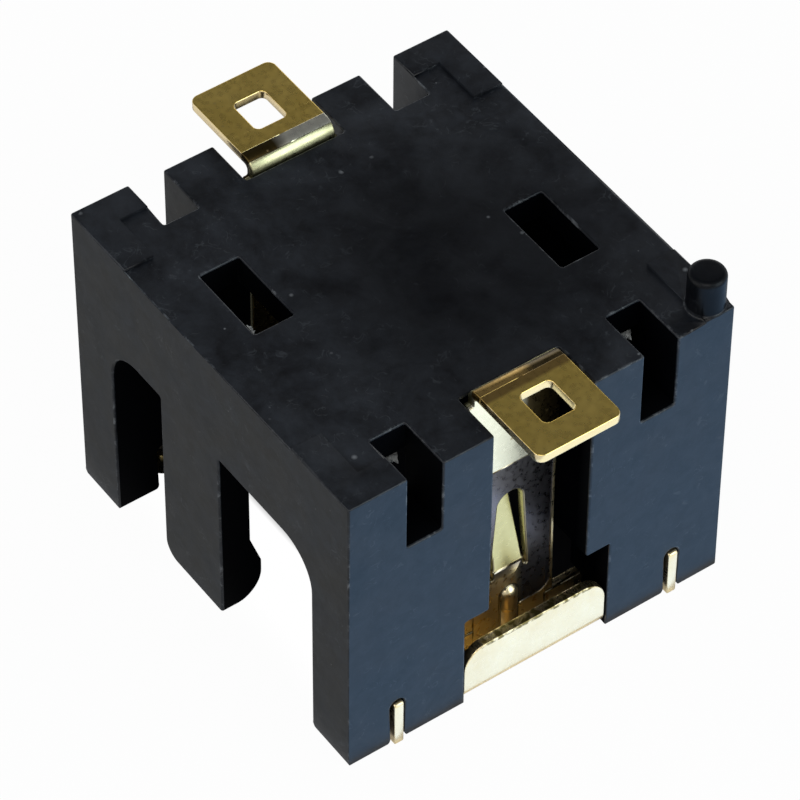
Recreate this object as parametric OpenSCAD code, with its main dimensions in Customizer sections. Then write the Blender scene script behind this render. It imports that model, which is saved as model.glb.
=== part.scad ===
// Coin cell holder for a short round cell, or for two flat cells stacked to its length.
// It stands on its open side with its board side up, as it comes out of the mould.
// A moulded housing with two snap latches carries two stamped contacts, one in each end wall.

/* [Cell] */
// Diameter of the cell
cell_d = 11.6; // [10.8:0.1:12.4]
// Length of the cell, or of the stack of flat cells
cell_l = 10.8; // [9.8:0.1:13]
// Play between the cell and each side wall
side_play = 0.25; // [0.15:0.05:0.4]
// Play between the cell and each end wall
end_play = 0.1; // [0.05:0.05:0.3]

/* [Housing] */
// Height from the feet to the top of the plate
body_h = 12; // [11.6:0.1:13]
// Thickness of the plate
plate_t = 1.15; // [0.9:0.05:1.4]
// Thickness of the side walls and of the latches
side_wall = 1.15; // [0.9:0.05:1.4]
// Thickness of the end walls, which hold the contacts
end_wall = 2; // [1.8:0.05:2.6]
// Depth of the side walls below the top of the plate
skirt_h = 4.05; // [3:0.05:5]
// Radius in the upper corners of the side openings
arch_r = 1.5; // [0.6:0.1:2]
// Radius of the feet's lower corners, seen from the end
foot_r = 0.15; // [0.1:0.05:0.8]
// Radius along the lower edge of the feet that faces -X
foot_lead_r = 0.45; // [0.2:0.05:0.6]
// Radius along the feet's other lower edge
foot_edge_r = 0.1; // [0.05:0.05:0.2]

/* [Snap latches] */
// Width of a latch
latch_w = 3.2; // [2.4:0.1:3.6]
// Distance of a latch from the middle of its side
latch_shift = 1.1; // [0.6:0.05:1.6]
// Gap under a latch, up from the feet
latch_gap = 0.65; // [0.5:0.05:1]
// How far the catch stands in under the cell
catch_in = 0.4; // [0.25:0.05:0.6]
// Depth of the catch's crest below the cell's axis
catch_drop = 2.85; // [2.4:0.05:3]
// Height of the slope above the catch
catch_slope = 1.2; // [0.6:0.05:1.4]
// Radius of the lead-in under the catch
lead_r = 1.1; // [0.8:0.05:1.1]
// Radius of a latch's lower corner, seen from the side
latch_corner_r = 0.65; // [0.2:0.05:0.9]

/* [Windows and notches] */
// Length of a window in the plate
window_l = 3; // [2:0.1:3.6]
// Width of a window in the plate
window_w = 1.45; // [1:0.05:1.8]
// Distance of a window from the middle, along the holder
window_shift = 1.55; // [0.5:0.05:2.2]
// Distance of a window from the middle, across the holder
window_side = 4.65; // [4:0.05:4.9]
// Width of a notch at the top of the end walls
notch_w = 1.3; // [0.8:0.05:1.6]
// Distance of a notch from the middle, across the holder
notch_side = 4.4; // [3.8:0.05:4.8]
// Height of a notch below the top of the plate
notch_h = 3; // [2:0.05:3.6]

/* [Pads and peg] */
// Height of the corner pads that meet the board
pad_h = 0.1; // [0.05:0.05:0.2]
// Width of a pad's arms
pad_w = 1.1; // [0.8:0.05:1.4]
// Reach of a pad along the side walls
pad_l = 3; // [2.2:0.05:4]
// Diameter of the locating peg
peg_d = 1.25; // [0.8:0.05:1.4]
// Height of the peg above the pads
peg_h = 1.4; // [0.8:0.05:1.8]
// Gap between the peg and the walls' outer faces
peg_inset = 0.02; // [0.02:0.01:0.2]
// Radius round the peg's top edge
peg_round = 0.2; // [0.1:0.05:0.35]

/* [Contact seats] */
// Width of the channel for a contact's strip
channel_w = 3.75; // [3.5:0.05:4.2]
// Width of the channel's mouth, round the contact's foot
mouth_w = 5.6; // [5.2:0.05:6.4]
// Height of the mouth above the feet
mouth_h = 3.95; // [2.8:0.05:4.6]
// Distance of a slit from the middle, across the holder
slit_side = 5.35; // [4.6:0.05:5.8]
// Width of a slit
slit_w = 0.55; // [0.45:0.05:0.8]
// Height of a slit
slit_h = 2; // [1.6:0.05:2.6]
// Radius of the lead-in at a slit's lower end
slit_lead_r = 0.25; // [0.1:0.05:0.4]
// Depth of the sheet behind the end wall's inner face
sheet_set = 0.2; // [0.1:0.05:0.3]
// Play round the contacts in the housing
contact_play = 0.05; // [0.03:0.01:0.1]

/* [Contacts] */
// Thickness of the sheet
sheet_t = 0.35; // [0.2:0.05:0.4]
// Inside radius of the bends
bend_r = 0.15; // [0.1:0.05:0.25]
// Width of the strip
strip_w = 3.5; // [3:0.05:3.6]
// Width of the solder tab, between the strip's shoulders
tab_w = 3.15; // [2.4:0.05:3.3]
// Reach of the solder tab past the end wall
tab_reach = 1.8; // [1:0.05:2.6]
// Depth of the strip's shoulders below the tab's bend
tab_drop = 0.2; // [0.1:0.05:0.5]
// Radius of the tab's outer corners
tab_r = 0.3; // [0.1:0.05:0.8]
// Length of the hole in the tab, along the holder
tab_hole_l = 1.4; // [1:0.05:2]
// Width of the hole in the tab
tab_hole_w = 1.2; // [0.8:0.05:1.8]
// Distance from the tab's outer end to its hole
tab_hole_edge = 1; // [0.6:0.05:1.2]
// Bow of the strip towards the cell
bow = 0.1; // [0.1:0.05:0.3]
// Height of the straight part above the bow
strip_straight = 1.2; // [1:0.05:2]
// Width of the flange below the tab
flange_w = 5.5; // [4.6:0.05:6]
// Height of the flange
flange_h = 2.25; // [1.2:0.05:2.6]
// Radius of the flange's upper corners
flange_r = 0.9; // [0.3:0.05:1]
// Gap between the flange's fold and the feet
fold_gap = 0.05; // [0.05:0.05:0.5]
// How far the wings stand out of the slits
wing_out = 0.1; // [0.05:0.05:0.2]
// Height of the cross band that carries the wings
band_h = 0.85; // [0.7:0.05:1.1]
// Gap between the cross band and the feet
band_gap = 0.3; // [0.2:0.05:0.4]
// Width of the rib pressed into the foot of the strip
rib_w = 0.85; // [0.6:0.05:1]
// How far the rib stands out of the strip
rib_stand = 0.2; // [0.1:0.05:0.25]
// Height of the rib
rib_h = 1.9; // [1.2:0.05:2.2]
// Height of the finger's root above the feet
finger_root = 3; // [2.8:0.05:3.4]
// Length of the spring finger
finger_l = 3.7; // [3:0.1:4.6]
// Width of the finger at its root
finger_root_w = 1.15; // [0.8:0.05:1.4]
// Width of the finger at its tip
finger_tip_w = 0.7; // [0.4:0.05:0.8]
// Gap cut round the finger
finger_gap = 0.15; // [0.1:0.05:0.25]
// How far the finger's tip stands in from the strip
finger_in = 0.6; // [0.3:0.05:0.8]

/* [Hidden] */
$fn = 48;

// Overlap that keeps a cut clear of the face it starts from
eps = 0.5;
black = [0.1, 0.11, 0.13];
gold = [0.85, 0.69, 0.36];

// Housing, worked out from the cell
cavity_l = cell_l + 2 * end_play;
cavity_w = cell_d + 2 * side_play;
body_l = cavity_l + 2 * end_wall;
body_w = cavity_w + 2 * side_wall;
plate_z = body_h - plate_t;
skirt_z = body_h - skirt_h;
cell_z = plate_z - cell_d / 2;
board_z = body_h + pad_h;
peg_r = peg_d / 2;
notch_z = body_h - notch_h;

// Snap latch: flat of its lower end, and height of its crest, which keeps a short land above the lead-in
latch_flat = side_wall + catch_in - lead_r;
catch_land = 0.1;
crest_z = max(cell_z - catch_drop, latch_gap + lead_r + catch_land);

// Contact: the sheet's two faces in the end wall, its folds and its strip
sheet_in = cavity_l / 2 + sheet_set;
sheet_out = sheet_in + sheet_t;
fold_r = bend_r + sheet_t;
fold_z = fold_gap + fold_r;
flange_out = body_l / 2 - contact_play;
shoulder_z = board_z - bend_r - tab_drop;
bow_top = body_h - strip_straight;
bow_rise = bow_top - fold_z;
bow_r = (bow_rise * bow_rise / 4 + bow * bow) / (2 * bow);
hole_r = 0.2;
wing_r = 0.12;

// Face of the strip on the cell's side, at a height z
function strip_face(z) =
    sheet_in - bow + bow_r - sqrt(bow_r * bow_r - pow(z - (bow_top + fold_z) / 2, 2));

// A flat shape drawn in Y and Z, run along X about the middle
module along_x(length) {
    rotate([90, 0, 90])
        linear_extrude(length, center = true)
            children();
}

// A flat shape drawn in X and Z, run along Y about the middle
module along_y(length) {
    rotate([90, 0, 0])
        linear_extrude(length, center = true)
            children();
}

// What a radius takes off a corner whose sides run along +x and +y
module corner_waste(r) {
    difference() {
        translate([-r, -r])
            square(2 * r);
        translate([r, r])
            circle(r);
        translate([r, -2 * r])
            square(4 * r);
        translate([-2 * r, r])
            square(4 * r);
    }
}

// Rectangle on the x axis, centred, with its two lower corners rounded
module foot_outline(width, height, r_left, r_right) {
    difference() {
        translate([-width / 2, 0])
            square([width, height]);
        translate([-width / 2, 0])
            corner_waste(r_left);
        translate([width / 2, 0])
            mirror([1, 0])
                corner_waste(r_right);
    }
}

// Quarter of a ring, from r to r + t, in the quarter that sx and sy point to
module quarter_ring(r, t, sx, sy) {
    intersection() {
        difference() {
            circle(r + t);
            circle(r);
        }
        quarter_plane(sx, sy, r + t + eps);
    }
}

// Square that covers one quarter of the plane
module quarter_plane(sx, sy, size) {
    translate([sx < 0 ? -size : 0, sy < 0 ? -size : 0])
        square(size);
}

// ---- Housing ----

// One end wall down to its feet, at +X, with the radii along the feet's inner and outer edges
module end_wall_block(inner_r, outer_r) {
    intersection() {
        translate([body_l / 2 - end_wall / 2, 0, 0])
            along_y(body_w)
                foot_outline(end_wall, body_h, inner_r, outer_r);
        along_x(2 * body_l)
            foot_outline(body_w, body_h, foot_r, foot_r);
    }
}

// Plate and side skirts in one piece, with the cavity's upper part open
module plate_and_skirts() {
    difference() {
        translate([-body_l / 2, -body_w / 2, skirt_z - arch_r])
            cube([body_l, body_w, body_h - skirt_z + arch_r]);
        translate([-cavity_l / 2, -cavity_w / 2, -eps])
            cube([cavity_l, cavity_w, plate_z + eps]);
        along_y(body_w + 2 * eps)
            arch_outline();
    }
}

// Opening under a side skirt, as wide as the cavity, with rounded upper corners
module arch_outline() {
    difference() {
        translate([-cavity_l / 2, -eps])
            square([cavity_l, skirt_z + eps]);
        for (side = [-1, 1])
            translate([side * cavity_l / 2, skirt_z])
                mirror([side > 0 ? 1 : 0, 0])
                    mirror([0, 1])
                        corner_waste(arch_r);
    }
}

// Snap latch of the -Y side: a tongue with a catch that stands in under the cell
module latch() {
    outer = -body_w / 2;
    inner = -cavity_w / 2;
    crest = inner + catch_in;
    intersection() {
        translate([-latch_shift, 0, 0])
            along_x(latch_w) {
                polygon([
                    [outer, skirt_z + side_wall / 2],
                    [outer, latch_gap + lead_r],
                    [crest, latch_gap + lead_r],
                    [crest, crest_z],
                    [inner, crest_z + catch_slope],
                    [inner, skirt_z + side_wall / 2]
                ]);
                translate([outer, latch_gap])
                    square([latch_flat, 2 * lead_r]);
                translate([outer + latch_flat, latch_gap + lead_r])
                    intersection() {
                        circle(lead_r);
                        quarter_plane(1, -1, lead_r);
                    }
            }
        translate([-latch_shift, 0, latch_gap])
            along_y(2 * body_w)
                foot_outline(latch_w, body_h, latch_corner_r, wing_r);
    }
}

// Slit seen from the end: a round top, and a lead-in at its open lower end
module slit_outline() {
    translate([-slit_w / 2, -eps])
        square([slit_w, slit_h - slit_w / 2 + eps]);
    translate([0, slit_h - slit_w / 2])
        circle(d = slit_w);
    for (side = [0, 1])
        mirror([side, 0])
            translate([slit_w / 2, 0])
                corner_waste(slit_lead_r);
}

// Everything that one end wall loses: contact channel, its mouth, slits, pocket and notches
module end_cuts() {
    wall_x = cavity_l / 2;
    through = end_wall + eps;
    slot_x = sheet_in - contact_play;
    pocket_h = band_gap + band_h + contact_play;
    translate([wall_x - eps, -channel_w / 2, mouth_h - eps])
        cube([through + eps, channel_w, plate_z - mouth_h + eps]);
    translate([slot_x, -channel_w / 2, plate_z - eps])
        cube([through, channel_w, plate_t + 2 * eps]);
    translate([wall_x - eps, -mouth_w / 2, -eps])
        cube([through + eps, mouth_w, mouth_h + eps]);
    translate([wall_x - eps, -slit_side - slit_w / 2, -eps])
        cube([eps + sheet_set + sheet_t + contact_play, 2 * slit_side + slit_w, pocket_h + eps]);
    for (side = [-1, 1]) {
        translate([wall_x + through / 2 - eps / 2, side * slit_side, 0])
            along_x(through + eps)
                slit_outline();
        translate([wall_x, side * notch_side - notch_w / 2, notch_z])
            cube([through, notch_w, notch_h + eps]);
    }
}

// Arm of a corner pad that runs along the side wall, at +X and +Y
module side_pad() {
    translate([body_l / 2 - pad_l, body_w / 2 - pad_w, body_h - pad_h])
        cube([pad_l, pad_w, 2 * pad_h]);
}

// Arm of a corner pad that runs along the end wall as far as the notch, at +X and +Y
module end_pad() {
    reach = body_w / 2 - notch_side - notch_w / 2;
    translate([body_l / 2 - pad_w, body_w / 2 - reach, body_h - pad_h])
        cube([pad_w, reach, 2 * pad_h]);
}

// Four corner pads, L-shaped but for the one that carries the peg
module pads() {
    for (x = [0, 1])
        for (y = [0, 1])
            mirror([x, 0, 0])
                mirror([0, y, 0]) {
                    side_pad();
                    if (x + y > 0)
                        end_pad();
                }
}

// Locating peg, a revolve with a rounded top edge
module peg() {
    translate([body_l / 2 - peg_inset - peg_r, body_w / 2 - peg_inset - peg_r, body_h - pad_h])
        rotate_extrude()
            difference() {
                square([peg_r, pad_h + pad_h + peg_h]);
                translate([peg_r, pad_h + pad_h + peg_h])
                    rotate(180)
                        corner_waste(peg_round);
            }
}

// Moulded housing: plate, side skirts, end walls, two latches, four pads and the peg
module housing() {
    color(black)
        difference() {
            union() {
                plate_and_skirts();
                peg();
                pads();
                end_wall_block(foot_lead_r, foot_edge_r);
                rotate([0, 0, 180])
                    end_wall_block(foot_edge_r, foot_lead_r);
                for (turn = [0, 180])
                    rotate([0, 0, turn])
                        latch();
            }
            for (turn = [0, 180])
                rotate([0, 0, turn]) {
                    end_cuts();
                    translate([-window_shift - window_l / 2, -window_side - window_w / 2, plate_z - eps])
                        cube([window_l, window_w, plate_t + 2 * eps]);
                }
        }
}

// ---- Contacts ----

// Strip seen from the side, from the solder tab's bend to the fold at its foot
module strip_profile() {
    middle_z = (bow_top + fold_z) / 2;
    translate([sheet_in, bow_top])
        square([sheet_t, board_z - bend_r - bow_top]);
    translate([sheet_out + bend_r, board_z - bend_r])
        quarter_ring(bend_r, sheet_t, -1, 1);
    intersection() {
        translate([sheet_in - bow + bow_r, middle_z])
            difference() {
                circle(bow_r, $fn = 720);
                circle(bow_r - sheet_t, $fn = 720);
            }
        translate([sheet_in - 2 * bow, fold_z])
            square([sheet_t + 3 * bow, bow_rise]);
    }
    translate([sheet_out + bend_r, fold_z])
        quarter_ring(bend_r, sheet_t, -1, -1);
}

// Floor of the fold and the flange that stands up at its end, seen from the side
module flange_profile() {
    flange_in = flange_out - sheet_t;
    translate([sheet_out + bend_r, fold_gap])
        square([flange_in - bend_r - sheet_out - bend_r, sheet_t]);
    translate([flange_in - bend_r, fold_z])
        quarter_ring(bend_r, sheet_t, 1, -1);
    translate([flange_in, fold_z])
        square([sheet_t, flange_h + fold_gap - fold_z]);
}

// Outline of the finger, seen from the end: a taper with a round tip
module finger_outline(grow) {
    tip_r = finger_tip_w / 2;
    polygon([
        [-finger_root_w / 2 - grow, finger_root],
        [finger_root_w / 2 + grow, finger_root],
        [tip_r + grow, finger_root + finger_l - tip_r],
        [-tip_r - grow, finger_root + finger_l - tip_r]
    ]);
    translate([0, finger_root + finger_l - tip_r])
        circle(tip_r + grow);
}

// Spring finger seen from the side: it leans in to its crown, and its tip turns back
module finger_profile() {
    root_x = strip_face(finger_root);
    crown_z = finger_root + finger_l * 0.8;
    tip_z = finger_root + finger_l;
    crown_x = strip_face(crown_z) - finger_in;
    tip_x = crown_x + finger_in / 3;
    polygon([
        [root_x, finger_root - sheet_t],
        [root_x, finger_root],
        [crown_x, crown_z],
        [tip_x, tip_z],
        [tip_x + sheet_t, tip_z],
        [crown_x + sheet_t, crown_z],
        [root_x + sheet_t, finger_root],
        [root_x + sheet_t, finger_root - sheet_t]
    ]);
}

// Rib pressed out of the strip's foot: a round bar with a round top
module rib_form(r, x) {
    translate([x, 0, fold_z]) {
        cylinder(h = rib_h - rib_w / 2, r = r);
        translate([0, 0, rib_h - rib_w / 2])
            sphere(r = r);
    }
}

// Strip before its window is cut: as wide as the tab above its shoulders
module strip_blank() {
    along_y(tab_w)
        strip_profile();
    intersection() {
        along_y(strip_w)
            strip_profile();
        translate([0, -strip_w, 0])
            cube([body_l, 2 * strip_w, shoulder_z]);
    }
}

// Strip with its window, finger and pressed rib
module strip() {
    rib_x = strip_face(fold_z + rib_h / 2) + sheet_t - rib_w / 2 + rib_stand;
    difference() {
        union() {
            strip_blank();
            intersection() {
                rib_form(rib_w / 2, rib_x);
                translate([sheet_in + sheet_t / 4, -rib_w, 0])
                    cube([rib_w, 2 * rib_w, body_h]);
            }
        }
        rib_form(rib_stand, strip_face(fold_z + rib_h / 2) - rib_stand / 3);
        translate([sheet_in, 0, 0])
            along_x(4 * sheet_t + 4 * bow)
                finger_outline(finger_gap);
    }
    intersection() {
        along_y(strip_w)
            finger_profile();
        along_x(2 * body_l)
            union() {
                finger_outline(0);
                translate([-finger_root_w / 2, finger_root - sheet_t])
                    square([finger_root_w, 2 * sheet_t]);
            }
    }
}

// Solder tab with its rounded corners and its hole
module tab() {
    tab_in = sheet_out + bend_r;
    tab_out = body_l / 2 + tab_reach;
    hole_out = tab_out - tab_hole_edge;
    translate([0, 0, board_z])
        linear_extrude(sheet_t)
            difference() {
                translate([tab_in, -tab_w / 2])
                    square([tab_out - tab_in, tab_w]);
                for (side = [0, 1])
                    mirror([0, side])
                        translate([tab_out, -tab_w / 2])
                            mirror([1, 0])
                                corner_waste(tab_r);
                translate([hole_out - tab_hole_l, -tab_hole_w / 2])
                    rounded_hole(tab_hole_l, tab_hole_w, hole_r);
            }
}

// Rectangle from the origin with four rounded corners
module rounded_hole(length, width, r) {
    difference() {
        square([length, width]);
        for (x = [0, 1])
            for (y = [0, 1])
                translate([x * length, y * width])
                    mirror([x, 0])
                        mirror([0, y])
                            corner_waste(r);
    }
}

// Flange with its fold, cut to its outline with two rounded upper corners
module flange() {
    flange_top = fold_gap + flange_h;
    intersection() {
        along_y(flange_w)
            flange_profile();
        translate([0, 0, flange_top])
            mirror([0, 0, 1])
                along_x(2 * body_l)
                    foot_outline(flange_w, flange_h + eps, flange_r, flange_r);
    }
}

// Cross band in the end wall, and the wings that it turns out into the slits
module band_and_wings() {
    bend_x = sheet_out + bend_r;
    bend_y = slit_side - sheet_t / 2 - bend_r;
    for (side = [0, 1])
        mirror([0, side, 0]) {
            translate([sheet_in, strip_w / 2 - sheet_t, band_gap])
                cube([sheet_t, bend_y - strip_w / 2 + sheet_t, band_h]);
            translate([bend_x, bend_y, band_gap])
                linear_extrude(band_h)
                    quarter_ring(bend_r, sheet_t, -1, 1);
            translate([bend_x, slit_side, 0])
                wing(body_l / 2 + wing_out - bend_x);
        }
}

// Wing that fills a slit and stands out of it, with its outer corners eased
module wing(reach) {
    along_y(sheet_t)
        difference() {
            square([reach, slit_h - 2 * contact_play]);
            translate([reach, slit_h - 2 * contact_play])
                rotate(180)
                    corner_waste(wing_r);
        }
}

// Stamped contact in the +X end wall: tab, strip, spring finger, fold, flange and wings
module contact() {
    color(gold) {
        tab();
        strip();
        flange();
        band_and_wings();
    }
}

module positive_contact() {
    contact();
}

module negative_contact() {
    rotate([0, 0, 180])
        contact();
}

housing();
positive_contact();
negative_contact();
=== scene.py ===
import math

import bmesh
import bpy
import numpy as np
from mathutils import Matrix, Vector


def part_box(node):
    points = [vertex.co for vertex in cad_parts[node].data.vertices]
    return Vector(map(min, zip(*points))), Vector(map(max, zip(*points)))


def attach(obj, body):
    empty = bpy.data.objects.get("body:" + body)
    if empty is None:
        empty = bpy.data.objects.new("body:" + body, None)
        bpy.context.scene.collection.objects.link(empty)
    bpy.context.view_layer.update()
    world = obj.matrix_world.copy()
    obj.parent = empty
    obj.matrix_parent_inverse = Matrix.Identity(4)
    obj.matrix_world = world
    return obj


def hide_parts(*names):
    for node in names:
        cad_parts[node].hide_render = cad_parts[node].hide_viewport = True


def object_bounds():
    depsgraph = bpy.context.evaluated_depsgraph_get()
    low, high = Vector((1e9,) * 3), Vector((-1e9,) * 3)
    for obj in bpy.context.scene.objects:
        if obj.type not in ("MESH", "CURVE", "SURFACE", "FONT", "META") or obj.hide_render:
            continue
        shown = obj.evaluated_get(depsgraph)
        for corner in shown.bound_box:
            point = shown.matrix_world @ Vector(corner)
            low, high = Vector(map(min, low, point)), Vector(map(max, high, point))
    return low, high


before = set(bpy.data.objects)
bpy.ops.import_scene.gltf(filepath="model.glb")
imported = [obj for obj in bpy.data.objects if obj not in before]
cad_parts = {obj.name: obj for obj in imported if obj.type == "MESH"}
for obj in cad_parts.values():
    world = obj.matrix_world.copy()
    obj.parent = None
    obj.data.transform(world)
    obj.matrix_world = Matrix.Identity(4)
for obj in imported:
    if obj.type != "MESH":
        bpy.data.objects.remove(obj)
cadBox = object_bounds()
print("frame loaded:", sorted(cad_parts))

mm = 0.001  # one millimetre, in metres
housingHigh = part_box("housing")[1]
plateTop = 12.0 * mm


# small helpers for the node trees: a value is a socket to link or a plain default
def feed(tree, value, socket):
    if isinstance(value, bpy.types.NodeSocket):
        tree.links.new(value, socket)
    else:
        socket.default_value = value


def calc(tree, operation, first, second=0.0, clamp=False):
    node = tree.nodes.new("ShaderNodeMath")
    node.operation = operation
    node.use_clamp = clamp
    feed(tree, first, node.inputs[0])
    feed(tree, second, node.inputs[1])
    return node.outputs[0]


# straight line from one range to another, held at both ends
def ramp(tree, value, fromLow, fromHigh, low=0.0, high=1.0):
    node = tree.nodes.new("ShaderNodeMapRange")
    feed(tree, value, node.inputs["Value"])
    feed(tree, fromLow, node.inputs["From Min"])
    feed(tree, fromHigh, node.inputs["From Max"])
    feed(tree, low, node.inputs["To Min"])
    feed(tree, high, node.inputs["To Max"])
    return node.outputs["Result"]


def mixColour(tree, mask, first, second):
    node = tree.nodes.new("ShaderNodeMix")
    node.data_type = "RGBA"
    feed(tree, mask, node.inputs["Factor"])
    feed(tree, first, node.inputs["A"])
    feed(tree, second, node.inputs["B"])
    return node.outputs["Result"]


# product of several masks
def product(tree, *masks):
    result = masks[0]
    for mask in masks[1:]:
        result = calc(tree, "MULTIPLY", result, mask)
    return result


# colours laid over each other: each mask brings in its own colour over those before
def layers(tree, colour, *pairs):
    for mask, tone in pairs:
        colour = mixColour(tree, mask, colour, tone)
    return colour


# normal bent by a height, on top of the normal of another bump where one is given
def bumped(tree, height, strength, depth, under=None):
    bump = tree.nodes.new("ShaderNodeBump")
    bump.inputs["Strength"].default_value = strength
    bump.inputs["Distance"].default_value = depth
    tree.links.new(height, bump.inputs["Height"])
    if under is not None:
        tree.links.new(under, bump.inputs["Normal"])
    return bump.outputs["Normal"]


# 1 on the small arcs along the edges of a rounded piece
def edgeMask(tree):
    edge = tree.nodes.new("ShaderNodeAttribute")
    edge.attribute_name = "edge"
    return edge.outputs["Fac"]


def objectPlace(tree):
    place = tree.nodes.new("ShaderNodeTexCoord").outputs["Object"]
    parts = tree.nodes.new("ShaderNodeSeparateXYZ")
    tree.links.new(place, parts.inputs[0])
    return place, parts.outputs["X"], parts.outputs["Y"], parts.outputs["Z"]


def newMaterial(name, shaderKind):
    material = bpy.data.materials.new(name)
    material.use_nodes = True
    tree = material.node_tree
    tree.nodes.clear()
    shader = tree.nodes.new(shaderKind)
    out = tree.nodes.new("ShaderNodeOutputMaterial")
    tree.links.new(shader.outputs[0], out.inputs["Surface"])
    return material, tree, shader


view = {
    "azimuth": 54.147,     # degrees, 0 looks along +Y
    "elevation": 47.586,   # degrees above the floor
    "roll": 0.518,
    "lens": 229.78,
    "distance": 161.35 * mm,
    "aim": (0.146 * mm, -0.058 * mm, 5.86 * mm),
    "sensor": 36.0,
    "clip": (0.005, 50.0),
}


# the camera stands on a ball about its aim: right, up and back come from two angles and a roll
def makeCamera():
    azimuth = math.radians(view["azimuth"])
    elevation = math.radians(view["elevation"])
    forward = Vector((
        -math.sin(azimuth) * math.cos(elevation),
        math.cos(azimuth) * math.cos(elevation),
        -math.sin(elevation),
    ))
    right = Vector((math.cos(azimuth), math.sin(azimuth), 0))
    up = right.cross(forward)
    turn = Matrix.Rotation(math.radians(-view["roll"]), 3, forward)
    right, up = turn @ right, turn @ up
    data = bpy.data.cameras.new("sceneCamera")
    data.lens = view["lens"]
    data.sensor_width = view["sensor"]
    data.clip_start, data.clip_end = view["clip"]
    camera = bpy.data.objects.new("sceneCamera", data)
    place = Vector(view["aim"]) - forward * view["distance"]
    columns = Matrix((right, up, -forward)).transposed()
    camera.matrix_world = Matrix.Translation(place) @ columns.to_4x4()
    bpy.context.scene.collection.objects.link(camera)
    bpy.context.scene.camera = camera


floorSettings = {
    "half": 4.0,                       # metres from the middle to each side
    "pale": (0.86, 0.87, 0.88, 1),
    "shaded": (0.012, 0.012, 0.014, 1),  # deep shade under the holder
    "shadeInset": 1.6 * mm,            # the shade starts to fade this far inside the walls
    "shadeFade": 1.3 * mm,
    "openFrom": -3.0 * mm,             # the floor that shows through the front arch
    "openFade": 0.5 * mm,
    "cameraShare": 0.97,               # how much of the plain background the camera sees
    "glossShare": 0.25,                # the same for reflections
}


# rectangle between two corners at one height, in metres
def flatSheet(name, low, high, up):
    (x0, y0), (x1, y1) = low, high
    mesh = bpy.data.meshes.new(name)
    mesh.from_pydata([(x0, y0, up), (x1, y0, up), (x1, y1, up), (x0, y1, up)], [], [(0, 1, 2, 3)])
    return mesh


# one flat rectangle; the background is mixed in for camera and mirror rays only
def makeFloor():
    half = floorSettings["half"]
    mesh = flatSheet("floor", (-half, -half), (half, half), 0)
    floor = bpy.data.objects.new("floor", mesh)
    bpy.context.scene.collection.objects.link(floor)

    material, tree, blend = newMaterial("paleFloor", "ShaderNodeMixShader")
    x, y = objectPlace(tree)[1:3]
    sides = []
    for value, wall in ((x, housingHigh[0]), (y, housingHigh[1])):
        start = wall - floorSettings["shadeInset"]
        away = calc(tree, "ABSOLUTE", value)
        sides.append(ramp(tree, away, start, start + floorSettings["shadeFade"]))
    outside = calc(tree, "MAXIMUM", sides[0], sides[1])
    under = calc(tree, "SUBTRACT", 1.0, outside)
    openFrom = floorSettings["openFrom"]
    opening = ramp(tree, y, openFrom, openFrom - floorSettings["openFade"])

    paint = tree.nodes.new("ShaderNodeBsdfDiffuse")
    shade = mixColour(tree, under, floorSettings["pale"], floorSettings["shaded"])
    tree.links.new(shade, paint.inputs["Color"])
    glow = tree.nodes.new("ShaderNodeEmission")
    glow.inputs["Color"].default_value = (1, 1, 1, 1)
    glow.inputs["Strength"].default_value = 1
    rays = tree.nodes.new("ShaderNodeLightPath")
    mirrored = calc(tree, "MAXIMUM", rays.outputs["Is Glossy Ray"], rays.outputs["Is Transmission Ray"])
    mirrored = calc(tree, "MULTIPLY", mirrored, floorSettings["glossShare"])
    direct = calc(tree, "MULTIPLY", rays.outputs["Is Camera Ray"], floorSettings["cameraShare"])
    share = calc(tree, "MULTIPLY", calc(tree, "ADD", direct, mirrored), outside)
    through = product(tree, opening, under, rays.outputs["Is Camera Ray"])
    tree.links.new(calc(tree, "ADD", share, through, clamp=True), blend.inputs[0])
    tree.links.new(paint.outputs[0], blend.inputs[1])
    tree.links.new(glow.outputs[0], blend.inputs[2])
    mesh.materials.append(material)


# a card is a plain glowing sheet just above the floor that only the reflections in one finish see;
# a clear card lets the others look through to what lies below it; places in mm
underCard = {"up": 0.03, "clear": False, "for": "housing_plastic"}
overCard = {"up": 0.05, "clear": True, "for": "contact_metal"}
cards = {
    "coolCard": {**underCard, "low": (7.7, -9.0), "high": (60.0, 60.0), "colour": (0.50, 0.80, 1.22, 1)},
    "dimCard": {**underCard, "low": (-60.0, -60.0), "high": (7.6, -7.4), "colour": (0.30, 0.30, 0.29, 1)},
    "creamCard": {**overCard, "low": (9.4, -9.0), "high": (60.0, 60.0), "colour": (1.07, 1.17, 1.18, 1)},
    "whiteCard": {**overCard, "low": (7.7, -9.0), "high": (9.4, 9.0), "colour": (1.00, 1.24, 1.72, 1)},
    "sideCard": {**overCard, "low": (-60.0, -60.0), "high": (7.6, -7.4), "colour": (0.80, 0.80, 0.78, 1)},
}
finishes = {slot: bpy.data.collections.new(slot) for slot in ("housing_plastic", "contact_metal")}


def makeCards():
    for name, card in cards.items():
        low, high = ([value * mm for value in card[corner]] for corner in ("low", "high"))
        mesh = flatSheet(name, low, high, card["up"] * mm)
        sheet = bpy.data.objects.new(name, mesh)
        bpy.context.scene.collection.objects.link(sheet)
        sheet.visible_camera = False
        sheet.visible_diffuse = False
        sheet.visible_shadow = False
        sheet.light_linking.receiver_collection = finishes[card["for"]]
        material, tree, both = newMaterial(name, "ShaderNodeAddShader")
        glow = tree.nodes.new("ShaderNodeEmission")
        glow.inputs["Color"].default_value = card["colour"]
        glow.inputs["Strength"].default_value = 1.0
        tree.links.new(glow.outputs[0], both.inputs[0])
        if card["clear"]:
            clear = tree.nodes.new("ShaderNodeBsdfTransparent")
            tree.links.new(clear.outputs[0], both.inputs[1])
        mesh.materials.append(material)


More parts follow.
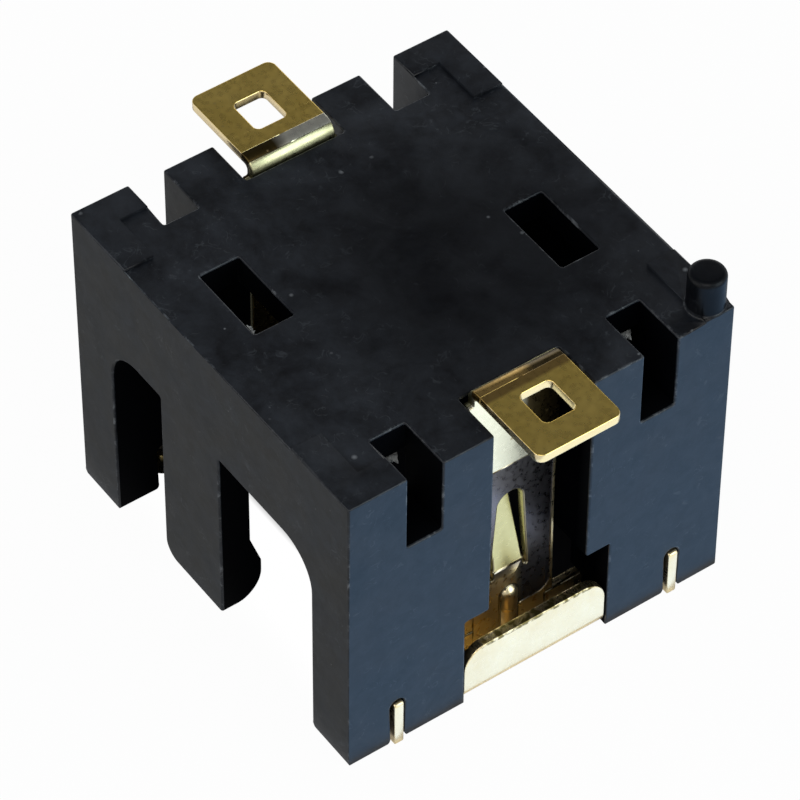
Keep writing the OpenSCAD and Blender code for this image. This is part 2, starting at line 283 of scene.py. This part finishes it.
sky = {
    "zenith": (0.12, 0.125, 0.14, 1),
    "horizon": (0.85, 0.88, 0.92, 1),
    "bend": 0.42,          # sine of the height at which the sky has become dim
}


# sky by height: the horizon's colour blends into the zenith's up to the bend
def makeSky():
    world = bpy.data.worlds.new("studioSky")
    bpy.context.scene.world = world
    world.use_nodes = True
    tree = world.node_tree
    tree.nodes.clear()
    parts = tree.nodes.new("ShaderNodeSeparateXYZ")
    tree.links.new(tree.nodes.new("ShaderNodeTexCoord").outputs["Generated"], parts.inputs[0])
    height = tree.nodes.new("ShaderNodeMapRange")
    height.interpolation_type = "SMOOTHSTEP"
    tree.links.new(parts.outputs["Z"], height.inputs["Value"])
    height.inputs["From Max"].default_value = sky["bend"]
    light = tree.nodes.new("ShaderNodeBackground")
    colour = mixColour(tree, height.outputs["Result"], sky["horizon"], sky["zenith"])
    tree.links.new(colour, light.inputs["Color"])
    out = tree.nodes.new("ShaderNodeOutputWorld")
    tree.links.new(light.outputs[0], out.inputs["Surface"])


# places in metres
lamps = {
    "coolSide": {"at": (0.30, 0.16, 0.16), "size": 0.26, "power": 0.6, "colour": (0.80, 0.94, 1.0)},
    "frontSoft": {"at": (0.22, -0.20, 0.32), "size": 0.30, "power": 0.6, "colour": (1.0, 0.99, 0.97)},
    "leftFill": {"at": (-0.06, -0.34, 0.16), "size": 0.26, "power": 0.25, "colour": (1.0, 0.98, 0.95)},
    "backFill": {"at": (-0.30, 0.26, 0.10), "size": 0.22, "power": 0.15, "colour": (1.0, 1.0, 1.0)},
}


# square lamps that all look at the middle of the holder's height
def makeLamps():
    aim = Vector((0, 0, (cadBox[0][2] + cadBox[1][2]) / 2))
    for name, lamp in lamps.items():
        data = bpy.data.lights.new(name, "AREA")
        data.shape = "SQUARE"
        data.size = lamp["size"]
        data.energy = lamp["power"]
        data.color = lamp["colour"]
        light = bpy.data.objects.new(name, data)
        place = Vector(lamp["at"])
        light.rotation_euler = (aim - place).to_track_quat("-Z", "Y").to_euler()
        light.location = place
        bpy.context.scene.collection.objects.link(light)


def newGroup(name, inputs, outputs):
    group = bpy.data.node_groups.new(name, "ShaderNodeTree")
    for label, kind, value in inputs:
        socket = group.interface.new_socket(label, in_out="INPUT", socket_type=kind)
        if value is not None:
            socket.default_value = value
    for label in outputs:
        group.interface.new_socket(label, in_out="OUTPUT", socket_type="NodeSocketFloat")
    return group, group.nodes.new("NodeGroupInput").outputs, group.nodes.new("NodeGroupOutput").inputs


def placeGroup(tree, group, place, values):
    node = tree.nodes.new("ShaderNodeGroup")
    node.node_tree = group
    tree.links.new(place, node.inputs["Vector"])
    for label, value in values.items():
        feed(tree, value, node.inputs[label])
    return node.outputs


def noise(tree, place, scale, detail=3.0, roughness=0.5, distortion=0.0):
    node = tree.nodes.new("ShaderNodeTexNoise")
    tree.links.new(place, node.inputs["Vector"])
    feed(tree, scale, node.inputs["Scale"])
    node.inputs["Detail"].default_value = detail
    node.inputs["Roughness"].default_value = roughness
    node.inputs["Distortion"].default_value = distortion
    return node.outputs["Fac"]


# cloudy mask: one broad noise stretched about its middle, with a finer one beside it
def makeMottleGroup():
    group, given, made = newGroup(
        "flowMottle",
        [("Vector", "NodeSocketVector", None), ("Scale", "NodeSocketFloat", 300.0),
         ("Contrast", "NodeSocketFloat", 0.3)],
        ["Mask", "Fine"],
    )
    broad = noise(group, given["Vector"], given["Scale"], 6, 0.65, 0.5)
    fine = noise(group, given["Vector"], calc(group, "MULTIPLY", given["Scale"], 9.0), 4)
    low = calc(group, "SUBTRACT", 0.5, given["Contrast"])
    high = calc(group, "ADD", 0.5, given["Contrast"])
    group.links.new(ramp(group, broad, low, high), made["Mask"])
    group.links.new(fine, made["Fine"])
    return group


# sparse dots: a cell shows a dot of its own size where its random value is low
def makeSpeckGroup():
    group, given, made = newGroup(
        "sparseSpecks",
        [("Vector", "NodeSocketVector", None), ("Scale", "NodeSocketFloat", 900.0),
         ("Share", "NodeSocketFloat", 0.1), ("Size", "NodeSocketFloat", 0.25)],
        ["Mask"],
    )
    cells = group.nodes.new("ShaderNodeTexVoronoi")
    group.links.new(given["Vector"], cells.inputs["Vector"])
    group.links.new(given["Scale"], cells.inputs["Scale"])
    pick = group.nodes.new("ShaderNodeSeparateColor")
    group.links.new(cells.outputs["Color"], pick.inputs["Color"])
    chosen = calc(group, "LESS_THAN", pick.outputs["Red"], given["Share"])
    size = calc(group, "MULTIPLY", pick.outputs["Green"], given["Size"])
    dot = ramp(group, cells.outputs["Distance"], size, 0.0)
    group.links.new(calc(group, "MULTIPLY", dot, chosen, clamp=True), made["Mask"])
    return group


# short curved scuffs: the zero line of one noise, kept only where a second, slower noise is high
def makeScuffGroup():
    group, given, made = newGroup(
        "fineScuffs",
        [("Vector", "NodeSocketVector", None), ("Scale", "NodeSocketFloat", 900.0),
         ("Width", "NodeSocketFloat", 0.02), ("Share", "NodeSocketFloat", 0.58)],
        ["Mask"],
    )
    wave = noise(group, given["Vector"], given["Scale"], 2, 0.5, 1.2)
    offLine = calc(group, "ABSOLUTE", calc(group, "SUBTRACT", wave, 0.5))
    line = ramp(group, offLine, given["Width"], 0.0)
    where = noise(group, given["Vector"], calc(group, "MULTIPLY", given["Scale"], 0.9), 2, 0.6)
    kept = ramp(group, where, given["Share"], calc(group, "ADD", given["Share"], 0.06))
    group.links.new(calc(group, "MULTIPLY", line, kept, clamp=True), made["Mask"])
    return group


plasticFinish = {
    "dark": (0.0012, 0.0015, 0.0024, 1),
    "cloud": (0.0200, 0.0240, 0.0310, 1),
    "scuff": (0.055, 0.062, 0.070, 1),
    # light edge colour: partly wear, partly painted highlight
    "wearAndHighlight": (0.13, 0.14, 0.15, 1),
    "dust": (0.20, 0.21, 0.22, 1),
    "inner": (0.0010, 0.0012, 0.0018, 1),   # painted shade: walls inside the holder, its notches and windows, darker and without marks
    "broadClouds": {"Scale": 420.0, "Contrast": 0.16},
    "broadShare": 0.6,
    "smallClouds": {"Scale": 1700.0, "Contrast": 0.14},
    "dustDots": {"Scale": 2600.0, "Share": 0.05, "Size": 0.30},
    "hairs": {"Scale": 1500.0, "Width": 0.022, "Share": 0.575},
    "hairStrength": 0.5,
    "fleckStrength": 0.55,
    "innerInset": 0.08 * mm,
    "innerFrom": -5.6 * mm,                 # the notches beyond this keep the outer finish
    "calmPlace": (1.0 * mm, 1.6 * mm),      # around here the top is darker, with fewer clouds and marks
    "calmReach": (2.6 * mm, 6.6 * mm),
    "calmLeast": 0.30,
    "padRise": (12.02 * mm, 12.06 * mm),    # above this the edges are the corner pads', with little of the wear and painted highlight
    "padWearAndHighlight": 0.1,
    "pegFrom": 12.16 * mm,
    "pegCalm": 0.8,
    "roughLow": 0.30,
    "roughHigh": 0.46,
    "roughInner": 0.62,
    "ior": 1.42,
    "gloss": 0.5,
    "duller": {"inside": 0.46, "onPeg": 0.30, "calm": 0.34},
    "bumpStrength": 0.5,
    "bumpDepth": 0.006 * mm,
}


# scuffs on the plastic: thin hairs, and flecks that a fine noise leaves where a slow one is high
def plasticMarks(tree, place, scuffs):
    hairs = placeGroup(tree, scuffs, place, plasticFinish["hairs"])["Mask"]
    fine = noise(tree, place, 2900.0, 5, 0.72, 0.9)
    flecks = ramp(tree, fine, 0.60, 0.70, 0.0, plasticFinish["fleckStrength"])
    clusters = ramp(tree, noise(tree, place, 620.0, 2), 0.42, 0.60)
    hairs = calc(tree, "MULTIPLY", hairs, plasticFinish["hairStrength"])
    return calc(tree, "MAXIMUM", hairs, calc(tree, "MULTIPLY", flecks, clusters))


# wear and painted highlight along edges: the edge arcs, nibbled by a fine noise, stronger where a slow noise
# is high
def plasticWearAndHighlight(tree, place, z):
    nibbled = ramp(tree, noise(tree, place, 2200.0, 4, 0.7, 0.8), 0.50, 0.66)
    where = ramp(tree, noise(tree, place, 500.0, 2), 0.40, 0.60, 0.15, 1.0)
    low, high = plasticFinish["padRise"]
    offPads = ramp(tree, z, low, high, 1.0, plasticFinish["padWearAndHighlight"])
    return product(tree, edgeMask(tree), nibbled, where, offPads)


# 1 on the walls inside the housing: inside its box by an inset, up to the far end's notches
def insideMask(tree, x, y, z):
    inset = plasticFinish["innerInset"]
    return product(
        tree,
        calc(tree, "LESS_THAN", calc(tree, "ABSOLUTE", x), housingHigh[0] - inset),
        calc(tree, "LESS_THAN", calc(tree, "ABSOLUTE", y), housingHigh[1] - inset),
        calc(tree, "LESS_THAN", z, plateTop - inset),
        calc(tree, "GREATER_THAN", x, plasticFinish["innerFrom"]),
    )


# marks and clouds fade towards the calm place by their distance from it, and on the peg
def makePlastic(mottle, specks, scuffs):
    material, tree, shader = newMaterial("mouldedBlack", "ShaderNodeBsdfPrincipled")
    place, x, y, z = objectPlace(tree)
    broad = placeGroup(tree, mottle, place, plasticFinish["broadClouds"])
    small = placeGroup(tree, mottle, place, plasticFinish["smallClouds"])["Mask"]
    dust = placeGroup(tree, specks, place, plasticFinish["dustDots"])["Mask"]

    squares = []
    for value, middle in zip((x, y), plasticFinish["calmPlace"]):
        beside = calc(tree, "SUBTRACT", value, middle)
        squares.append(calc(tree, "MULTIPLY", beside, beside))
    away = calc(tree, "SQRT", calc(tree, "ADD", *squares))
    near, far = plasticFinish["calmReach"]
    markShare = ramp(tree, away, near, far, plasticFinish["calmLeast"], 1.0)
    masks = {
        "inside": insideMask(tree, x, y, z),
        "onPeg": calc(tree, "GREATER_THAN", z, plasticFinish["pegFrom"]),
        "calm": calc(tree, "SUBTRACT", 1.0, markShare),
    }
    offPeg = calc(tree, "SUBTRACT", 1.0, calc(tree, "MULTIPLY", masks["onPeg"], plasticFinish["pegCalm"]))
    markShare = calc(tree, "MULTIPLY", markShare, offPeg)

    marks = calc(tree, "MULTIPLY", plasticMarks(tree, place, scuffs), markShare)
    large = calc(tree, "MULTIPLY", broad["Mask"], plasticFinish["broadShare"])
    clouds = calc(tree, "ADD", large, calc(tree, "MULTIPLY", small, 1 - plasticFinish["broadShare"]))
    clouds = calc(tree, "MULTIPLY", clouds, markShare)
    colour = mixColour(tree, clouds, plasticFinish["dark"], plasticFinish["cloud"])
    # the edge layer is partly wear, partly painted highlight; the last layer is painted shade on the walls
    # inside
    colour = layers(
        tree, colour, (marks, plasticFinish["scuff"]), (plasticWearAndHighlight(tree, place, z), plasticFinish["wearAndHighlight"]),
        (dust, plasticFinish["dust"]), (masks["inside"], plasticFinish["inner"]),
    )
    tree.links.new(colour, shader.inputs["Base Color"])

    rough = ramp(tree, broad["Mask"], 0.0, 1.0, plasticFinish["roughLow"], plasticFinish["roughHigh"])
    roughInner = calc(tree, "MULTIPLY", masks["inside"], plasticFinish["roughInner"])
    tree.links.new(calc(tree, "MAXIMUM", rough, roughInner), shader.inputs["Roughness"])
    shader.inputs["IOR"].default_value = plasticFinish["ior"]
    gloss = plasticFinish["gloss"]
    for name, less in plasticFinish["duller"].items():
        gloss = calc(tree, "SUBTRACT", gloss, calc(tree, "MULTIPLY", masks[name], less))
    tree.links.new(gloss, shader.inputs["Specular IOR Level"])

    height = calc(tree, "ADD", broad["Fine"], marks)
    normal = bumped(tree, height, plasticFinish["bumpStrength"], plasticFinish["bumpDepth"])
    tree.links.new(normal, shader.inputs["Normal"])
    return material


goldFinish = {
    "bright": (0.95, 0.80, 0.50, 1),
    "deep": (0.86, 0.68, 0.38, 1),
    "upperBrown": (0.97, 0.70, 0.18, 1),      # browner colour on the tabs' upper faces
    "upperBrownDeep": (0.82, 0.57, 0.12, 1),
    "stain": (0.56, 0.40, 0.18, 1),
    "paintedReflection": (0.98, 0.94, 0.76, 1),      # painted pale reflection on the strip above its crease
    "bend": (0.42, 0.27, 0.08, 1),       # painted shade over the positive contact's bend
    "shade": (0.080, 0.055, 0.018, 1),   # painted shadow on the strip right under the tab
    "edge": (0.26, 0.22, 0.14, 1),       # cut edges of the strip
    "inward": (0.22, 0.17, 0.07, 1),     # painted shade on the sides that face the cell
    "shadowed": (0.27, 0.25, 0.27, 1),   # painted shade on the strip's panel
    "finger": (0.62, 0.58, 0.33, 1),
    "shearDark": (0.22, 0.17, 0.06, 1),  # torn upper edge of the flange
    "clouds": {"Scale": 520.0, "Contrast": 0.22},
    "spots": {"Scale": 3000.0, "Share": 0.08, "Size": 0.3},
    "roughLow": 0.24,
    "roughHigh": 0.36,
    "bumpStrength": 0.35,
    "bumpDepth": 0.004 * mm,
}

# the strip's panel is dished: its face leans across by the lean, up to a crease all round it
stripPanel = {
    "face": (5.93 * mm, 6.32 * mm),
    "across": (-1.95 * mm, 1.64 * mm),
    "up": (1.3 * mm, 8.2 * mm),
    "corner": 0.55 * mm,
    "crease": 0.07 * mm,
    "lean": 0.24,
    "leanAbove": 0.11,
}
# where the other marks on a contact lie; out is away from the middle, across is along the end wall
contactPlaces = {
    "upperFaceFrom": 12.43 * mm,                      # height of the tab's upper face
    "bendOut": (5.80 * mm, 6.60 * mm),            # on the contact beside the peg only
    "bendSoft": 0.12 * mm,
    "bendFrom": 12.12 * mm,
    "underTabAcross": (0.0 * mm, 0.5 * mm),
    "underTabUp": (8.6 * mm, 9.0 * mm),
    "ribAcross": (0.25 * mm, 0.55 * mm),
    "ribUp": (2.9 * mm, 3.3 * mm),
    "fingerOut": (5.93 * mm, 5.90 * mm),
    "fingerUp": (3.0 * mm, 3.4 * mm),
    "stripOut": (5.8 * mm, 6.5 * mm),
    "insideOut": 6.0 * mm,
    "insideTop": 10.5 * mm,
    "flangeFrom": 7.0 * mm,
    "flangeEdgeFrom": 7.03 * mm,
    "flangeEdgeUp": (2.18 * mm, 2.6 * mm),
    "soft": 0.02 * mm,
}


# 1 between low and high with soft ends
def band(tree, value, low, high, soft):
    rise = ramp(tree, value, low - soft, low)
    fall = ramp(tree, value, high + soft, high)
    return calc(tree, "MULTIPLY", rise, fall)


# distance outside a rectangle with round corners, from the offsets beyond its inner rectangle
def panelMask(tree, across, up):
    offsets = []
    for value, (low, high) in ((across, stripPanel["across"]), (up, stripPanel["up"])):
        middle = (low + high) / 2
        reach = (high - low) / 2 - stripPanel["corner"]
        away = calc(tree, "ABSOLUTE", calc(tree, "SUBTRACT", value, middle))
        beyond = calc(tree, "MAXIMUM", calc(tree, "SUBTRACT", away, reach), 0.0)
        offsets.append(calc(tree, "MULTIPLY", beyond, beyond))
    distance = calc(tree, "SQRT", calc(tree, "ADD", offsets[0], offsets[1]))
    return ramp(tree, distance, stripPanel["corner"], stripPanel["corner"] - stripPanel["crease"])


# masks of one contact; both share them, turned half a turn about the middle
def contactMasks(tree, x, y, z, fine):
    places = contactPlaces
    soft = places["soft"]
    creaseTop = stripPanel["up"][1]
    endSide = calc(tree, "SIGN", x)
    out = calc(tree, "ABSOLUTE", x)
    across = calc(tree, "MULTIPLY", y, endSide)
    aboveCrease = calc(tree, "GREATER_THAN", z, creaseTop)
    onStrip = band(tree, out, *stripPanel["face"], soft)
    besideRib = ramp(tree, across, *places["ribAcross"])
    besideRib = calc(tree, "MAXIMUM", besideRib, ramp(tree, z, *places["ribUp"]))
    facing = tree.nodes.new("ShaderNodeSeparateXYZ")
    tree.links.new(tree.nodes.new("ShaderNodeTexCoord").outputs["Normal"], facing.inputs[0])
    outward = calc(tree, "MULTIPLY", facing.outputs["X"], endSide)
    return {
        "across": across,
        "onStrip": onStrip,
        "panel": product(tree, panelMask(tree, across, z), onStrip, besideRib),
        "upper": calc(tree, "MULTIPLY", onStrip, aboveCrease),
        "underTab": product(
            tree, onStrip,
            ramp(tree, across, *places["underTabAcross"]), ramp(tree, z, *places["underTabUp"]),
        ),
        "onTop": calc(tree, "GREATER_THAN", z, places["upperFaceFrom"]),
        "bend": product(
            tree, band(tree, x, *places["bendOut"], places["bendSoft"]),
            calc(tree, "GREATER_THAN", z, places["bendFrom"]),
        ),
        "finger": product(tree, ramp(tree, out, *places["fingerOut"]), ramp(tree, z, *places["fingerUp"])),
        "torn": product(
            tree, band(tree, z, *places["flangeEdgeUp"], soft),
            calc(tree, "GREATER_THAN", out, places["flangeEdgeFrom"]), ramp(tree, fine, 0.42, 0.58),
        ),
        "stripEdge": product(
            tree, edgeMask(tree),
            band(tree, out, *places["stripOut"], soft), calc(tree, "LESS_THAN", z, creaseTop),
        ),
        "inward": product(
            tree, calc(tree, "LESS_THAN", outward, -0.3),
            calc(tree, "LESS_THAN", z, places["insideTop"]),
            calc(tree, "LESS_THAN", out, places["insideOut"]),
        ),
        "flange": calc(tree, "GREATER_THAN", out, places["flangeFrom"]),
    }


# cloudy gold; a bump leans the strip across, and a second one roughens all but strip and flange
def makeGold(mottle, specks):
    material, tree, shader = newMaterial("goldPlate", "ShaderNodeBsdfPrincipled")
    place, x, y, z = objectPlace(tree)
    clouds = placeGroup(tree, mottle, place, goldFinish["clouds"])
    spots = placeGroup(tree, specks, place, goldFinish["spots"])["Mask"]
    masks = contactMasks(tree, x, y, z, clouds["Fine"])

    paler = mixColour(tree, clouds["Mask"], goldFinish["bright"], goldFinish["deep"])
    browner = mixColour(tree, clouds["Mask"], goldFinish["upperBrown"], goldFinish["upperBrownDeep"])
    # painted light among these layers: the pale strip above the crease is a painted reflection; the bend, the
    # strip under the tab, the panel and the sides facing the cell carry painted shade
    colour = layers(
        tree, mixColour(tree, masks["onTop"], paler, browner),
        (masks["upper"], goldFinish["paintedReflection"]), (masks["bend"], goldFinish["bend"]),
        (masks["underTab"], goldFinish["shade"]), (spots, goldFinish["stain"]),
        (masks["finger"], goldFinish["finger"]), (masks["panel"], goldFinish["shadowed"]),
        (masks["torn"], goldFinish["shearDark"]), (masks["stripEdge"], goldFinish["edge"]),
        (masks["inward"], goldFinish["inward"]),
    )
    tree.links.new(colour, shader.inputs["Base Color"])
    shader.inputs["Metallic"].default_value = 1.0
    rough = ramp(tree, clouds["Fine"], 0.3, 0.7, goldFinish["roughLow"], goldFinish["roughHigh"])
    tree.links.new(rough, shader.inputs["Roughness"])

    leaning = calc(tree, "ADD", calc(tree, "MULTIPLY", masks["panel"], -stripPanel["lean"]),
                   calc(tree, "MULTIPLY", masks["upper"], -stripPanel["leanAbove"]))
    leaned = bumped(tree, calc(tree, "MULTIPLY", masks["across"], leaning), 1.0, 1.0)
    quiet = calc(tree, "MAXIMUM", masks["onStrip"], calc(tree, "MULTIPLY", masks["flange"], 0.9))
    height = calc(tree, "ADD", clouds["Fine"], clouds["Mask"])
    height = calc(tree, "MULTIPLY", height, calc(tree, "SUBTRACT", 1.0, quiet))
    normal = bumped(tree, height, goldFinish["bumpStrength"], goldFinish["bumpDepth"], leaned)
    tree.links.new(normal, shader.inputs["Normal"])
    return material


# seams are planes that split each face with a hole in it: axis, place, and height up to which
# they cut; all in mm
housingPiece = {
    "node": "housing", "name": "housingBody", "slot": "housing_plastic", "round": 0.07, "steps": 3,
    "seams": [("y", 4.65, 20), ("y", -4.65, 20), ("x", 6.855, 12.11)],
}
contactShape = {"slot": "contact_metal", "round": 0.045, "steps": 2, "seams": [("y", 0.0, 20)]}
contactPieces = [
    {"node": "positive_contact", "name": "positiveSpring", **contactShape},
    {"node": "negative_contact", "name": "negativeSpring", **contactShape},
]
# what counts as an edge worth rounding; lengths and heights in mm, angles in radians
rounding = {
    "doubles": 0.0005,
    "flatAngle": math.radians(0.6),
    "sharpAngle": math.radians(28),
    "shortest": 0.012,
    "footEdge": 0.1,             # edges shorter than this stay sharp below the foot's top
    "footTop": 0.35,
    "padStep": (11.95, 12.15),   # the low sides of the corner pads lie between these heights
}
axes = {"x": Vector((1, 0, 0)), "y": Vector((0, 1, 0))}


# the side of a corner pad: an upright face that is only as high as the pad
def isLowStep(face):
    heights = [v.co.z for v in face.verts]
    low, high = rounding["padStep"]
    return abs(face.normal.z) < 0.1 and min(heights) > low and max(heights) < high


# an edge is rounded where its faces turn enough, apart from the feet's short edges and the low steps
def isRounded(edge):
    if len(edge.link_faces) != 2 or edge.calc_face_angle(0) <= rounding["sharpAngle"]:
        return False
    if edge.calc_length() <= rounding["footEdge"] and max(v.co.z for v in edge.verts) <= rounding["footTop"]:
        return False
    return not any(isLowStep(face) for face in edge.link_faces)


# copy of a solid in millimetres: doubles merged, split at its seams, flat triangles joined,
# then every sharp edge becomes a small arc, whose faces carry 1 in the attribute "edge"
def roundedPiece(piece, material):
    work = bmesh.new()
    work.from_mesh(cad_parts[piece["node"]].data)
    work.transform(Matrix.Scale(1 / mm, 4))
    bmesh.ops.remove_doubles(work, verts=work.verts, dist=rounding["doubles"])
    for axis, where, top in piece["seams"]:
        below = [part for part in work.verts[:] + work.edges[:] + work.faces[:]
                 if max(v.co.z for v in getattr(part, "verts", [part])) < top]
        cut = bmesh.ops.bisect_plane(
            work, geom=below, dist=0.0001, plane_co=axes[axis] * where, plane_no=axes[axis],
        )
        for part in cut["geom_cut"]:
            if isinstance(part, bmesh.types.BMEdge):
                part.seam = True
    bmesh.ops.dissolve_limit(
        work, angle_limit=rounding["flatAngle"], verts=work.verts, edges=work.edges, delimit={"SEAM"},
    )
    bmesh.ops.remove_doubles(work, verts=work.verts, dist=rounding["shortest"])
    bmesh.ops.dissolve_degenerate(work, edges=work.edges, dist=rounding["shortest"])
    bmesh.ops.recalc_face_normals(work, faces=work.faces)
    sharp = [edge for edge in work.edges if isRounded(edge)]
    made = bmesh.ops.bevel(
        work, geom=sharp, offset=piece["round"], offset_type="OFFSET", segments=piece["steps"],
        profile=0.5, affect="EDGES", clamp_overlap=False, material=1, loop_slide=True,
        miter_outer="ARC",
    )
    print(piece["name"], "edges rounded:", len(sharp), "faces made:", len(made["faces"]))
    work.transform(Matrix.Scale(mm, 4))
    mesh = bpy.data.meshes.new(piece["name"])
    work.to_mesh(mesh)
    work.free()

    index = np.zeros(len(mesh.polygons), np.int32)
    mesh.polygons.foreach_get("material_index", index)
    mark = mesh.attributes.new("edge", "FLOAT", "FACE")
    mark.data.foreach_set("value", (index == 1).astype(np.float32))
    mesh.polygons.foreach_set("material_index", np.zeros(len(mesh.polygons), np.int32))
    mesh.polygons.foreach_set("use_smooth", np.ones(len(mesh.polygons), bool))
    mesh.materials.clear()
    mesh.materials.append(material)
    shown = bpy.data.objects.new(piece["name"], mesh)
    bpy.context.scene.collection.objects.link(shown)
    even = shown.modifiers.new("evenNormals", "WEIGHTED_NORMAL")
    even.weight = 100
    even.keep_sharp = False
    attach(shown, "root")
    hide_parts(piece["node"])
    finishes[piece["slot"]].objects.link(shown)


# slivers of mould flash on cut edges, their pale tone a painted glint: start and end of each along its edge,
# way it hangs, width, in mm
flashPiece = {
    "slivers": [
        {"from": (5.52, -4.98, 10.90), "to": (5.52, -4.05, 10.88), "way": (0.9, 0.1, -0.45), "width": 0.30},
        {"from": (5.52, 3.95, 10.90), "to": (5.52, 4.75, 10.88), "way": (0.9, 0.1, -0.45), "width": 0.26},
        {"from": (-0.52, -5.36, 11.96), "to": (-0.12, -5.36, 11.93), "way": (-0.1, 0.95, -0.30),
         "width": 0.11},
    ],
    "along": 26,
    "across": 5,
    "ragged": 0.55,
    "waves": ((0.6, 17, 1), (0.4, 41, 2)),   # share, turns along the sliver, shift for each next one
    "lift": 0.03,
    "liftTurns": 23,
    "thick": 0.02,
    # the pale tone is a painted glint
    "pale": (0.34, 0.34, 0.32, 1),
    "dull": (0.07, 0.07, 0.07, 1),
    "rough": 0.6,
}


# a ribbon: a point runs along the edge, and hangs out by the width times a ragged sum of sines,
# thin at both ends; a small wave lifts it out of its plane
def makeFlash():
    along, across = flashPiece["along"], flashPiece["across"]
    u, v = np.meshgrid(np.linspace(0, 1, along), np.linspace(0, 1, across), indexing="ij")
    points, faces = [], []
    for number, sliver in enumerate(flashPiece["slivers"]):
        start, end, way = (np.array(sliver[key], float) for key in ("from", "to", "way"))
        wave = sum(share * np.sin(turns * u + shift * number) for share, turns, shift in flashPiece["waves"])
        hang = sliver["width"] * np.sin(math.pi * u) ** 0.5 * (1 + flashPiece["ragged"] * wave) * v
        grid = start + u[..., None] * (end - start) + hang[..., None] * way
        grid[..., 2] += flashPiece["lift"] * np.sin(flashPiece["liftTurns"] * u + number) * v
        ids = number * along * across + np.arange(along * across).reshape(along, across)
        quads = np.stack([ids[:-1, :-1], ids[1:, :-1], ids[1:, 1:], ids[:-1, 1:]], axis=-1)
        points.append(grid.reshape(-1, 3))
        faces.append(quads.reshape(-1, 4))
    mesh = bpy.data.meshes.new("mouldFlash")
    mesh.from_pydata((np.concatenate(points) * mm).tolist(), [], np.concatenate(faces).tolist())
    mesh.polygons.foreach_set("use_smooth", np.ones(len(mesh.polygons), bool))
    material, tree, shader = newMaterial("flashWithPaintedGlint", "ShaderNodeBsdfPrincipled")
    # pale patches on the dull flash: painted glint
    torn = ramp(tree, noise(tree, objectPlace(tree)[0], 4200.0, 4, 0.7), 0.40, 0.60)
    tree.links.new(mixColour(tree, torn, flashPiece["dull"], flashPiece["pale"]), shader.inputs["Base Color"])
    shader.inputs["Roughness"].default_value = flashPiece["rough"]
    mesh.materials.append(material)
    shown = bpy.data.objects.new("mouldFlash", mesh)
    bpy.context.scene.collection.objects.link(shown)
    wall = shown.modifiers.new("wall", "SOLIDIFY")
    wall.thickness = flashPiece["thick"] * mm
    wall.offset = 0
    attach(shown, "root")
    finishes["housing_plastic"].objects.link(shown)


makeCamera()
makeFloor()
makeCards()
makeSky()
makeLamps()
print("camera, floor and light are in place")

mottleGroup = makeMottleGroup()
speckGroup = makeSpeckGroup()
plastic = makePlastic(mottleGroup, speckGroup, makeScuffGroup())
gold = makeGold(mottleGroup, speckGroup)
print("materials are made")

roundedPiece(housingPiece, plastic)
for contactPiece in contactPieces:
    roundedPiece(contactPiece, gold)
makeFlash()
print("pieces are made")

bpy.context.scene.view_settings.view_transform = "Standard"
